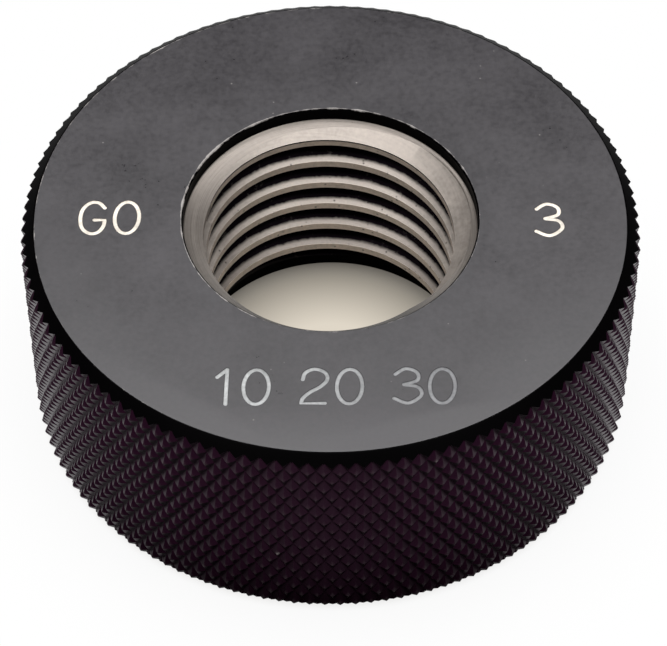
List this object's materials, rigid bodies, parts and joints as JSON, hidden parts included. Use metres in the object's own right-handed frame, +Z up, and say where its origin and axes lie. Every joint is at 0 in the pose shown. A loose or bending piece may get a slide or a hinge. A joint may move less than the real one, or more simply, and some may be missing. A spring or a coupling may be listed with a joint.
{
  "type": "thread ring gauge",
  "caption": "Solid steel thread ring gauge with a threaded bore recessed at both ends, bevelled rims and a knurled grip around the outside.",
  "frame": {"origin": "centre of the lower face, on the thread's axis", "axes": "+Z up the thread's axis, from the lower face to the upper one; -Y towards the side with the size, +X to its right"},
  "size_m": [0.048, 0.048, 0.0187],
  "materials": {
    "blackened_steel": "hardened steel with a black oxide finish, ground bright on the thread's first flank and floor"
  },
  "bodies": {
    "root": {"thread_ring": "blackened_steel"}
  },
  "joints": []
}
